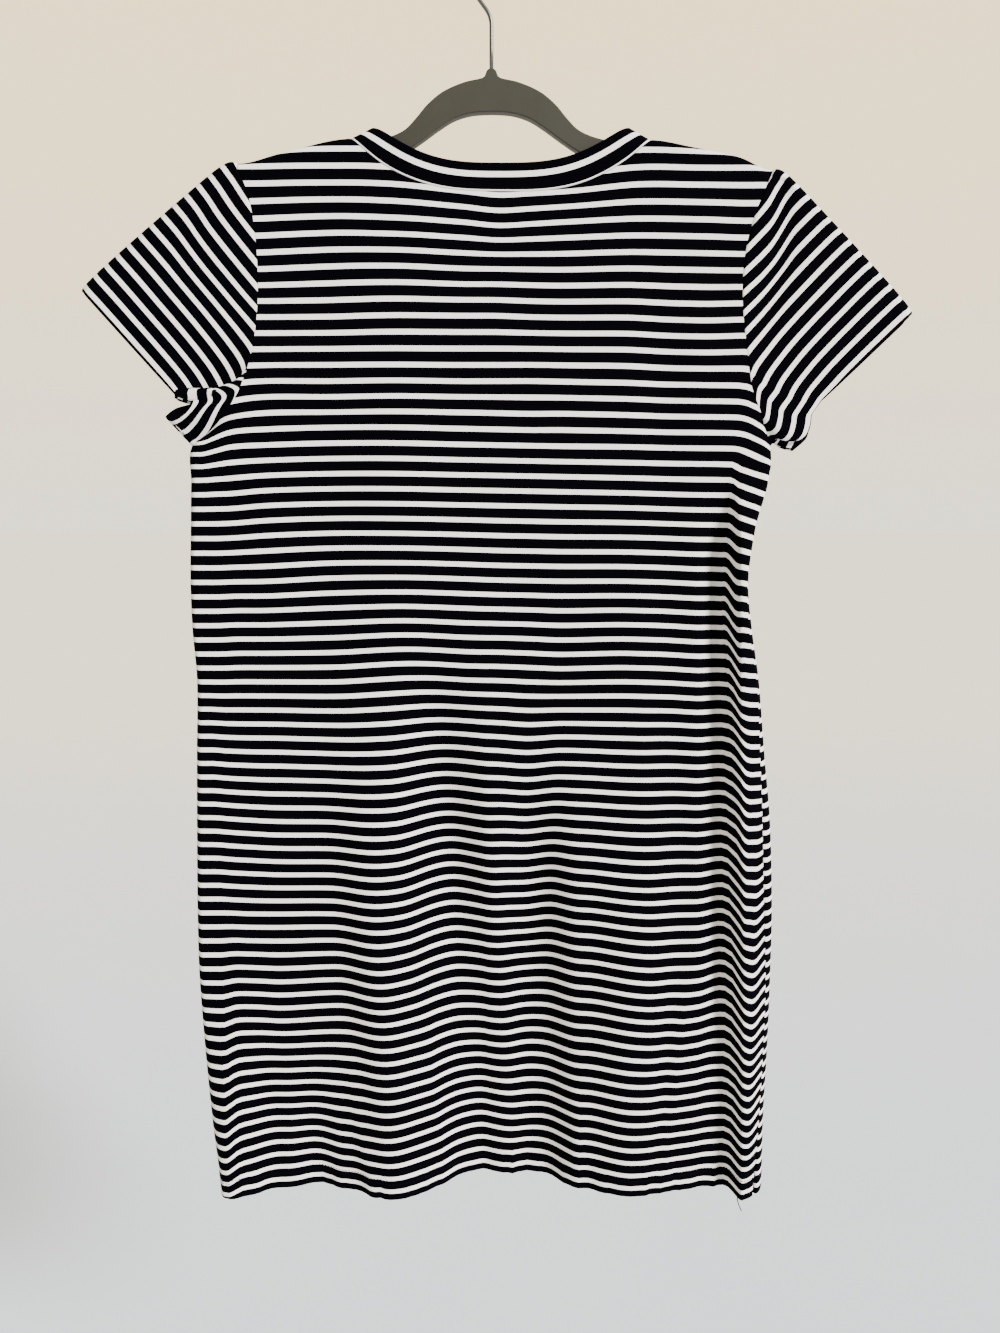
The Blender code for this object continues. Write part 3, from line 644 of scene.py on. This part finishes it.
neckband = {
    "half": 105.0, "peak": -129.5, "drop": {-1: 28.5, 1: 72.5}, "rounding": 1.4, "depth": 9.0,
    "gap": 0.45, "thick": 2.0, "rows": 24,
    # Place in the stripes from the free edge: dark, white, dark up to a sliver along the seam
    "stripes": ((0.0, -5.9), (5.85, 0.0), (11.6, 5.37)), "sliver": 1.8,
    "pastSeam": (9.0, 22.5),
}


def bandStripe(path, width):
    past, stripe = neckband["pastSeam"]
    rows = neckband["stripes"] + ((width - neckband["sliver"], cloth["period"]), (width + past, stripe))
    for (low, start), (high, end) in zip(rows, rows[1:]):
        if path <= high:
            return blend(start, end, (path - low) / (high - low))
    return rows[-1][1]


def bandGrid():
    split = body["columnSplit"]
    neck = range(firstNeck * split, lastNeck * split + 1)
    near = [(-1, column) for column in neck]
    far = [(1, column) for column in reversed(neck)]
    seam, edge = [], []
    for side, column in near[:-1] + far[:-1]:
        start = (backGrid if side < 0 else frontGrid)[0][column].copy()
        if column in (neck[0], neck[-1]):
            start = (backGrid[0][column] + frontGrid[0][column]) / 2
        off = neckOffset(column / split - firstNeck)
        fall = neckband["drop"][side] * (1 - abs(off) ** body["neckPower"][side]) ** neckband["rounding"]
        share = math.sin(math.acos(1 - min(1.0, fall / body["shoulderTurn"])))
        end = Vector((body["neckMiddle"] + neckband["half"] * off, side * share * neckband["depth"],
                      neckband["peak"] - fall))
        start += (end - start).normalized() * neckband["gap"]
        seam.append(start)
        edge.append(end)
    around = [0.0]
    for a, b in zip(edge, edge[1:] + edge[:1]):
        around.append(around[-1] + (b - a).length)
    grid, places = [], []
    for step in range(neckband["rows"] + 1):
        share = step / neckband["rows"]
        row = [b.lerp(a, share) for a, b in zip(seam, edge)]
        stripes = [bandStripe((a - b).length * share, (a - b).length) for a, b in zip(seam, edge)]
        grid.append(row + row[:1])
        places.append([(u, stripe) for u, stripe in zip(around, stripes + stripes[:1])])
    return grid, places


# Finished cloth pieces

pieces, sleeveGrids = {}, {}
for name, side, grid, places in (("back", -1, backGrid, backPlaces), ("front", 1, frontGrid, frontPlaces)):
    turnUp(grid, places, (0, side, 0), len(grid[0]) // 2, cloth["hemDepth"])
    pieces[name] = addSheet(name + "_cloth", grid, places,
                            lambda place, side=side: Vector((0, side, 0)), cloth["thick"])
for name in ("left", "right"):
    grid, places = sleeveGrid(sleeves[name])
    sleeveGrids[name] = grid
    turnUp(grid, places, (0, -1, 0), ringRows.index(sleeves["outerRow"]), sleeves["hemDepth"], closed=True,
           stretch=sleeves["inside"])
    pieces[name] = addSheet(name + "_sleeve_cloth", grid, places,
                            lambda place: Vector((0, place.y, 0)), cloth["thick"], closed=True)
grid, places = bandGrid()
pieces["band"] = addSheet("neckband_cloth", grid, places, lambda place: Vector((0, place.y, 0)),
                          neckband["thick"], closed=True)
print("cloth made:", ", ".join(piece.name for piece in pieces.values()))


# Hanger

hanger = {
    "thick": 9.0, "rounding": 1.2, "roundingSteps": 4, "step": 2.2, "supportInset": 0.3,
    "tip": 17,               # row of the outer table at the arm's tip, where the line has a corner
    # Outline of the right half, downwards outside and back inside
    "outer": (
        (0, -85.9), (2.0, -86), (3.3, -86.7), (4.1, -88.2), (4.8, -90), (5.7, -91.9), (8.5, -93.1),
        (22, -96), (39, -103),
        (51.5, -112.5), (61, -123), (70, -131.5), (82, -136.8), (98, -140.5), (115, -143),
        (172, -154.5), (194, -160), (200, -163.5), (201, -168), (197, -173)),
    "inner": (
        (197, -173), (172, -170), (115, -160), (90, -155), (72, -149), (57, -140), (43, -130.5),
        (30, -123), (16, -119), (0, -118)),
}


def runThrough(points, step):
    # Points at about equal steps along a smooth line through a table's points.
    points = [Vector(point) for point in points]
    keys = [0.0]
    for a, b in zip(points, points[1:]):
        keys.append(keys[-1] + (b - a).length)
    count = max(2, round(keys[-1] / step))
    return [through(keys, points, keys[-1] * i / count) for i in range(count + 1)]


def finishMesh(name, work):
    # Makes an object of a bmesh worked in millimetres.
    bmesh.ops.scale(work, vec=(mm, mm, mm), verts=work.verts)
    return newObject(name, work)


def makeHanger():
    outer = runThrough(hanger["outer"][:hanger["tip"] + 1], hanger["step"])
    outer += runThrough(hanger["outer"][hanger["tip"]:], hanger["step"])[1:]
    right = outer + runThrough(hanger["inner"], hanger["step"])[1:]
    outline = right + [Vector((-point.x, point.y)) for point in reversed(right[1:-1])]
    work = bmesh.new()
    half = hanger["thick"] / 2
    corners = [work.verts.new((point.x, -half, point.y)) for point in outline]
    face = work.faces.new(corners)
    made = bmesh.ops.extrude_face_region(work, geom=[face])
    moved = [item for item in made["geom"] if isinstance(item, bmesh.types.BMVert)]
    bmesh.ops.translate(work, verts=moved, vec=(0, hanger["thick"], 0))
    bmesh.ops.recalc_face_normals(work, faces=work.faces)
    rims = [edge for edge in work.edges
            if abs(edge.verts[0].co.y - edge.verts[1].co.y) < 0.01]
    bmesh.ops.bevel(work, geom=rims, offset=hanger["rounding"], offset_type="OFFSET", affect="EDGES",
                    segments=hanger["roundingSteps"], profile=0.5, material=-1, clamp_overlap=True)
    flats = sorted(work.faces, key=lambda side: side.calc_area())[-2:]
    bmesh.ops.inset_region(work, faces=flats, thickness=hanger["supportInset"], use_even_offset=True)
    return finishMesh("moulded_hanger", work)


# Hook

hook = {
    "wire": 1.6, "loop": 18.2, "loopEnd": -28.0, "bend": -46.0, "bendRun": 7.0, "foot": -88.0,
    "bendSteps": 10, "loopSteps": 44, "sides": 16, "endRounding": 0.7,
}


def hookRoute():
    # Middle of the wire: stem, bend, straight run to the loop, and round the crown.
    centre = hook["wire"] - hook["loop"]
    rise = centre - hook["bend"]
    lean = math.asin(hook["loop"] / rise)
    away = Vector((-math.sin(lean), 0, math.cos(lean)))
    bend = Vector((0, 0, hook["bend"]))
    low, high = bend - Vector((0, 0, hook["bendRun"])), bend + away * hook["bendRun"]
    route = [Vector((0, 0, hook["foot"])), Vector((0, 0, (hook["foot"] + low.z) / 2))]
    for i in range(hook["bendSteps"] + 1):
        t = i / hook["bendSteps"]
        route.append(low * (1 - t) ** 2 + bend * 2 * t * (1 - t) + high * t * t)
    touch = bend + away * math.sqrt(rise * rise - hook["loop"] ** 2)
    first = math.atan2(touch.z - centre, touch.x) % (2 * math.pi)
    last = math.radians(hook["loopEnd"])
    for i in range(hook["loopSteps"] + 1):
        angle = blend(first, last, i / hook["loopSteps"])
        route.append(Vector((hook["loop"] * math.cos(angle), 0, centre + hook["loop"] * math.sin(angle))))
    return route


def sweep(work, route, radius, sides, rounding):
    # A round rod along a route, drawn out ring by ring, with rounded ends.
    aims = [(b - a).normalized() for a, b in zip(route[:1] + route[:-1], route[1:] + route[-1:])]
    inset, tip = radius * rounding, radius * (1 - rounding)
    stations = [(route[0], aims[0], tip), (route[0] + aims[0] * inset, aims[0], radius)]
    stations += [(place, aim, radius) for place, aim in zip(route[1:-1], aims[1:-1])]
    stations += [(route[-1] - aims[-1] * inset, aims[-1], radius), (route[-1], aims[-1], tip)]
    turned = aims[0].to_track_quat("Z", "Y").to_matrix().to_4x4()
    ring = bmesh.ops.create_circle(work, cap_ends=True, segments=sides, radius=tip,
                                   matrix=Matrix.Translation(route[0]) @ turned)["verts"]
    cap = ring[0].link_faces[0]
    ends = [edge for edge in cap.edges]
    for (place, aim, size), (target, newAim, newSize) in zip(stations, stations[1:]):
        cap = bmesh.ops.extrude_discrete_faces(work, faces=[cap])["faces"][0]
        spin = aim.rotation_difference(newAim)
        for vertex in cap.verts:
            vertex.co = target + spin @ (vertex.co - place) * (newSize / size)
    bmesh.ops.holes_fill(work, edges=ends, sides=0)


def makeHook():
    work = bmesh.new()
    sweep(work, hookRoute(), hook["wire"], hook["sides"], hook["endRounding"])
    bmesh.ops.recalc_face_normals(work, faces=work.faces)
    return finishMesh("wire_hook", work)


# Stitching, as short raised threads in two rows at the hem and at each cuff

stitching = {
    "length": 2.5, "step": 3.1, "thick": 0.32, "raised": 0.1, "detail": 1,
    "hemRows": (14.6, 18.4), "cuffRows": (20.6, 23.6),
    # The loose thread that hangs from inside the right end of the hem
    "loose": ((226, 3, -1050), (226, 2, -1058), (226, 0.6, -1063), (226.8, 0, -1067), (228.4, 0, -1071),
              (230, 0, -1075)),
    "looseThick": 0.5, "looseStep": 1.5, "looseSides": 6, "looseRounding": 0.5,
}


def addStitches(work, path, below, facing):
    # Short threads along a path, raised off the cloth that lies between it and a line below it.
    done, due = 0.0, 0.0
    for a, b, low in zip(path, path[1:], below):
        if a is None or b is None:
            continue
        along = b - a
        out = along.cross(low - a).normalized()
        if out.dot(facing(a)) < 0:
            out = -out
        span = along.length
        along.normalize()
        turned = Matrix((along, out.cross(along), out)).transposed().to_4x4()
        size = Matrix.Diagonal((stitching["length"] / 2, stitching["thick"], stitching["thick"], 1))
        while due <= done + span:
            place = Matrix.Translation(a + along * (due - done) + out * stitching["raised"])
            bmesh.ops.create_icosphere(work, subdivisions=stitching["detail"], radius=1.0,
                                       matrix=place @ turned @ size)
            due += stitching["step"]
        done += span


def stitchRows(name, sheets, distances, loose=()):
    work = bmesh.new()
    for grid, rowCount, facing in sheets:
        lines = [[row[column] for row in grid[:rowCount]] for column in range(len(grid[0]))]
        for distance in distances:
            path = [upFrom(line, distance) for line in lines]
            addStitches(work, path, [line[-1] for line in lines], facing)
    if loose:
        edge = min(sheets[0][0][sheets[0][1] - 1], key=lambda place: abs(place.x - loose[0][0]))
        route = [Vector((x, edge.y + y, z)) for x, y, z in loose]
        sweep(work, runThrough(route, stitching["looseStep"]), stitching["looseThick"],
              stitching["looseSides"], stitching["looseRounding"])
    return finishMesh(name, work)


pieces["hanger"] = makeHanger()
pieces["hook"] = makeHook()
pieces["hemThread"] = stitchRows(
    "hem_stitching",
    [(backGrid, bodyRows, lambda place: Vector((0, -1, 0))),
     (frontGrid, bodyRows, lambda place: Vector((0, 1, 0)))],
    stitching["hemRows"], stitching["loose"])
for name in ("left", "right"):
    pieces[name + "Thread"] = stitchRows(
        name + "_cuff_stitching",
        [(sleeveGrids[name], sleeves["rows"] + 1, lambda place: Vector((0, place.y, 0.2)))],
        stitching["cuffRows"])
print("hanger, hook and stitching made")


# Materials

class Flow:
    # Wraps a node socket, so that sums of sockets and numbers add their Math nodes.
    def __init__(self, tree, socket):
        self.tree, self.socket = tree, socket

    def math(self, operation, *others):
        return node(self.tree, "ShaderNodeMath", {"operation": operation}, self, *others)

    def __add__(self, other):
        return self.math("ADD", other)

    def __sub__(self, other):
        return self.math("SUBTRACT", other)

    def __mul__(self, other):
        return self.math("MULTIPLY", other)

    def __truediv__(self, other):
        return self.math("DIVIDE", other)

    def __rsub__(self, other):
        return node(self.tree, "ShaderNodeMath", {"operation": "SUBTRACT"}, other, self)

    __radd__ = __add__
    __rmul__ = __mul__


def node(tree, kind, settings, *values, out=0, sockets={}, **named):
    # Adds a node, sets it up, and gives it the values or links of its sockets.
    made = tree.nodes.new(kind)
    for key, value in settings.items():
        if key == "stops":
            ramp = made.color_ramp
            while len(ramp.elements) < len(value):
                ramp.elements.new(0.5)
            for element, (place, colour) in zip(ramp.elements, value):
                element.position, element.color = place, (*colour, 1.0)
        else:
            setattr(made, key, value)
    slots = list(enumerate(values)) + list(sockets.items()) + list(named.items())
    for key, value in slots:
        socket = made.inputs[key.replace("_", " ")] if isinstance(key, str) else made.inputs[key]
        if isinstance(value, Flow):
            tree.links.new(value.socket, socket)
        else:
            socket.default_value = value
    return Flow(tree, made.outputs[out]) if made.outputs else None


def newMaterial(name):
    material = bpy.data.materials.new(name)
    material.use_nodes = True
    material.node_tree.nodes.clear()
    return material, material.node_tree


def finishMaterial(tree, **named):
    shader = node(tree, "ShaderNodeBsdfPrincipled", {}, **named)
    node(tree, "ShaderNodeOutputMaterial", {}, Surface=shader)


def mixColour(tree, factor, first, second):
    return node(tree, "ShaderNodeMix", {"data_type": "RGBA"}, out=2,
                sockets={0: factor, 6: first, 7: second})


def between(tree, factor, colours):
    return mixColour(tree, factor, *((*colour, 1.0) for colour in colours))


def noiseOf(tree, place, fineness, detail, **more):
    return node(tree, "ShaderNodeTexNoise", {}, Vector=place, Scale=fineness, Detail=detail, **more)


def bumpOf(tree, height, strength, depth):
    return node(tree, "ShaderNodeBump", {}, Strength=strength, Distance=depth * mm, Height=height)


def softPeak(value):
    # 1 in the middle of each unit and 0 at its ends.
    return 1 - ((value.math("FRACT") - 0.5) * 2).math("ABSOLUTE")


jersey = {
    "dark": ((0.0004, 0.0004, 0.0010), (0.0008, 0.0008, 0.0018)),
    "white": ((0.72, 0.695, 0.69), (0.79, 0.765, 0.76)),
    "wale": 0.95, "course": 0.75,    # one knitted stitch, across and along
    "tint": 55.0, "fuzz": 900.0,     # fineness of the shades and of the threads
    "bump": 0.55, "bumpDepth": 0.14, "rough": 0.86, "gloss": 0.01,
}


def jerseyMaterial():
    # Stripes and knit follow the cloth's own map, whose second direction counts down the stripes.
    material, tree = newMaterial("striped jersey")
    place = node(tree, "ShaderNodeUVMap", {"uv_map": "cloth"})
    across, along = (node(tree, "ShaderNodeSeparateXYZ", {}, place, out=axis) for axis in (0, 1))
    wale = softPeak(across / (jersey["wale"] * mm))
    course = softPeak(along / (jersey["course"] * mm) + wale * 0.5)
    phase = ((along - cloth["whiteFrom"] * mm) / (cloth["period"] * mm)).math("FRACT")
    inWhite = phase.math("LESS_THAN", cloth["white"])
    fuzz = noiseOf(tree, place, jersey["fuzz"], 2.0)
    shade = noiseOf(tree, place, jersey["tint"], 4.0, Roughness=0.6) * 0.6 + fuzz * 0.4
    dark, white = (between(tree, shade, jersey[name]) for name in ("dark", "white"))
    bump = bumpOf(tree, wale * 0.6 + course * 0.4 + fuzz * 0.25, jersey["bump"], jersey["bumpDepth"])
    finishMaterial(tree, Base_Color=mixColour(tree, inWhite, dark, white), Normal=bump,
                   Roughness=jersey["rough"] - shade * 0.08, Specular_IOR_Level=jersey["gloss"])
    return material


plastic = {
    "colours": ((0.019, 0.019, 0.0145), (0.025, 0.025, 0.019)),
    "marks": 18.0, "grain": 1400.0, "bump": 0.25, "bumpDepth": 0.06,
    "rough": 0.42, "uneven": 0.16, "gloss": 0.22,
}


def plasticMaterial():
    # Satin moulded plastic with a fine grain and slight marks from handling.
    material, tree = newMaterial("grey hanger plastic")
    place = node(tree, "ShaderNodeTexCoord", {}, out=3)
    marks = noiseOf(tree, place, plastic["marks"], 5.0, Roughness=0.7)
    grain = noiseOf(tree, place, plastic["grain"], 3.0)
    bump = bumpOf(tree, grain, plastic["bump"], plastic["bumpDepth"])
    finishMaterial(tree, Base_Color=between(tree, marks, plastic["colours"]), Normal=bump,
                   Roughness=plastic["rough"] + marks * plastic["uneven"],
                   Specular_IOR_Level=plastic["gloss"])
    return material


steel = {
    "colours": ((0.075, 0.08, 0.076), (0.12, 0.127, 0.12)),
    "dullness": 70.0, "lines": 2600.0, "lineStretch": (1.0, 1.0, 0.04),
    "bump": 0.2, "bumpDepth": 0.04, "rough": 0.26, "uneven": 0.14,
}


def steelMaterial():
    # Drawn wire, with fine lines along it and a little dullness.
    material, tree = newMaterial("drawn wire")
    place = node(tree, "ShaderNodeTexCoord", {}, out=3)
    stretched = node(tree, "ShaderNodeMapping", {}, place, sockets={3: steel["lineStretch"]})
    dull = noiseOf(tree, place, steel["dullness"], 3.0)
    bump = bumpOf(tree, noiseOf(tree, stretched, steel["lines"], 2.0), steel["bump"], steel["bumpDepth"])
    finishMaterial(tree, Base_Color=between(tree, dull, steel["colours"]), Metallic=1.0, Normal=bump,
                   Roughness=steel["rough"] + dull * steel["uneven"])
    return material


thread = {
    "colours": ((0.0012, 0.0014, 0.004), (0.003, 0.0034, 0.008)),
    "twist": 900.0, "bump": 0.5, "bumpDepth": 0.05, "rough": 0.7, "gloss": 0.02,
}


def threadMaterial():
    # Navy sewing thread with its twist.
    material, tree = newMaterial("navy thread")
    place = node(tree, "ShaderNodeTexCoord", {}, out=3)
    twist = node(tree, "ShaderNodeTexWave", {"bands_direction": "DIAGONAL"}, Vector=place,
                 Scale=thread["twist"])
    finishMaterial(tree, Base_Color=between(tree, twist, thread["colours"]), Roughness=thread["rough"],
                   Normal=bumpOf(tree, twist, thread["bump"], thread["bumpDepth"]),
                   Specular_IOR_Level=thread["gloss"])
    return material


finishes = {
    "cloth": (jerseyMaterial(), ("back", "front", "left", "right", "band")),
    "plastic": (plasticMaterial(), ("hanger",)),
    "steel": (steelMaterial(), ("hook",)),
    "thread": (threadMaterial(), ("hemThread", "leftThread", "rightThread")),
}
for material, names in finishes.values():
    for name in names:
        pieces[name].data.materials.append(material)
print("materials given:", ", ".join(finishes))


# Camera, light and floor

view = {"place": (6.9, -870.0, -433.0), "tilt": 9.0, "lens": 27.05, "sensor": 36.0}
cameraData = bpy.data.cameras.new("camera")
cameraData.lens = view["lens"]
cameraData.sensor_width = view["sensor"]
cameraData.sensor_fit = "AUTO"
cameraData.clip_end = 100.0
camera = bpy.data.objects.new("camera", cameraData)
camera.location = Vector(view["place"]) * mm
camera.rotation_euler = (math.radians(90.0 - view["tilt"]), 0.0, 0.0)
bpy.context.scene.collection.objects.link(camera)
bpy.context.scene.camera = camera

studio = {
    "floorDrop": 0.85, "floorSize": 60.0,
    "sun": ((0.66, -0.62, 0.50), 10.5, 14.0, (1.0, 0.965, 0.91)),   # towards it, power, angle, colour
    # Sky by height of the view direction: the floor's colour at the horizon, warmer above
    "sky": ((0.0, (0.80, 0.745, 0.60)), (0.500, (0.80, 0.745, 0.60)), (0.60, (0.90, 0.75, 0.50)),
            (0.72, (0.97, 0.77, 0.43)), (1.0, (0.95, 0.80, 0.52))),
    "seen": 2.45, "shining": 1.05,       # strength of the sky as the camera sees it and as a light
    # The near floor colour is painted cool shade: bluer and darker than the far floor, standing in for
    # cool daylight low in the view
    "nearFloorPaintedCoolShade": ((0.56, 0.64, 0.79), (0.60, 0.68, 0.83)),
    "farFloor": ((0.745, 0.73, 0.69), (0.785, 0.77, 0.73)),
    "floorTurn": (0.6, 6.5),             # from where to where the painted cool shade near the camera turns into the far floor's colour
}
towards, power, angle, colour = studio["sun"]
sunData = bpy.data.lights.new("key", "SUN")
sunData.energy = power
sunData.angle = math.radians(angle)
sunData.color = colour
sun = bpy.data.objects.new("key", sunData)
sun.rotation_euler = Vector(towards).to_track_quat("Z", "Y").to_euler()
bpy.context.scene.collection.objects.link(sun)

world = bpy.data.worlds.new("studio")
world.use_nodes = True
bpy.context.scene.world = world
skyTree = world.node_tree
skyTree.nodes.clear()
direction = node(skyTree, "ShaderNodeTexCoord", {})
upward = node(skyTree, "ShaderNodeSeparateXYZ", {}, direction, out=2) * 0.5 + 0.5
sky = node(skyTree, "ShaderNodeValToRGB", {"stops": studio["sky"]}, upward)
seenByCamera = node(skyTree, "ShaderNodeLightPath", {})
strength = seenByCamera * (studio["seen"] - studio["shining"]) + studio["shining"]
node(skyTree, "ShaderNodeOutputWorld", {}, node(skyTree, "ShaderNodeBackground", {}, sky, strength))

floorWork = bmesh.new()
bmesh.ops.create_grid(floorWork, x_segments=1, y_segments=1, size=studio["floorSize"])
bmesh.ops.translate(floorWork, verts=floorWork.verts, vec=(0, 0, body["hem"] * mm - studio["floorDrop"]))
floor = newObject("floor", floorWork)
floorMaterial, floorTree = newMaterial("pale floor")
spot = node(floorTree, "ShaderNodeTexCoord", {}, out=3)
mottle = noiseOf(floorTree, spot, 3.0, 3.0)
# Near the camera the floor carries painted cool shade, turning into its plain far colour further away
tones = [between(floorTree, mottle, studio[name]) for name in ("nearFloorPaintedCoolShade", "farFloor")]
away = node(floorTree, "ShaderNodeMapRange", {"interpolation_type": "SMOOTHSTEP"},
            node(floorTree, "ShaderNodeSeparateXYZ", {}, spot, out=1), *studio["floorTurn"])
finishMaterial(floorTree, Base_Color=mixColour(floorTree, away, *tones), Roughness=0.95,
               Specular_IOR_Level=0.1)
floor.data.materials.append(floorMaterial)

# What the pieces stand for

Stand = namedtuple("Stand", "node slot flat area")
stands = {
    "back": Stand("back_panel", "striped_jersey", (0.55, 0.95), 0.47),
    "front": Stand("front_panel", "striped_jersey", (0.55, 0.95), 0.47),
    "left": Stand("left_sleeve", "striped_jersey", (0.36, 0.19), 0.045),
    "right": Stand("right_sleeve", "striped_jersey", (0.36, 0.19), 0.045),
    "band": Stand("neckband", "band_jersey", (0.62, 0.026), 0.016),
    "hanger": Stand("hanger_body", "hanger_plastic", None, None),
    "hook": Stand("hanger_hook", "hook_steel", None, None),
    "hemThread": Stand(None, "striped_jersey", None, None),
    "leftThread": Stand(None, "striped_jersey", None, None),
    "rightThread": Stand(None, "striped_jersey", None, None),
}
for name, stand in stands.items():
    piece = pieces[name]
    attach(piece, "root")
    if stand.node:
        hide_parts(stand.node)

bpy.context.view_layer.update()
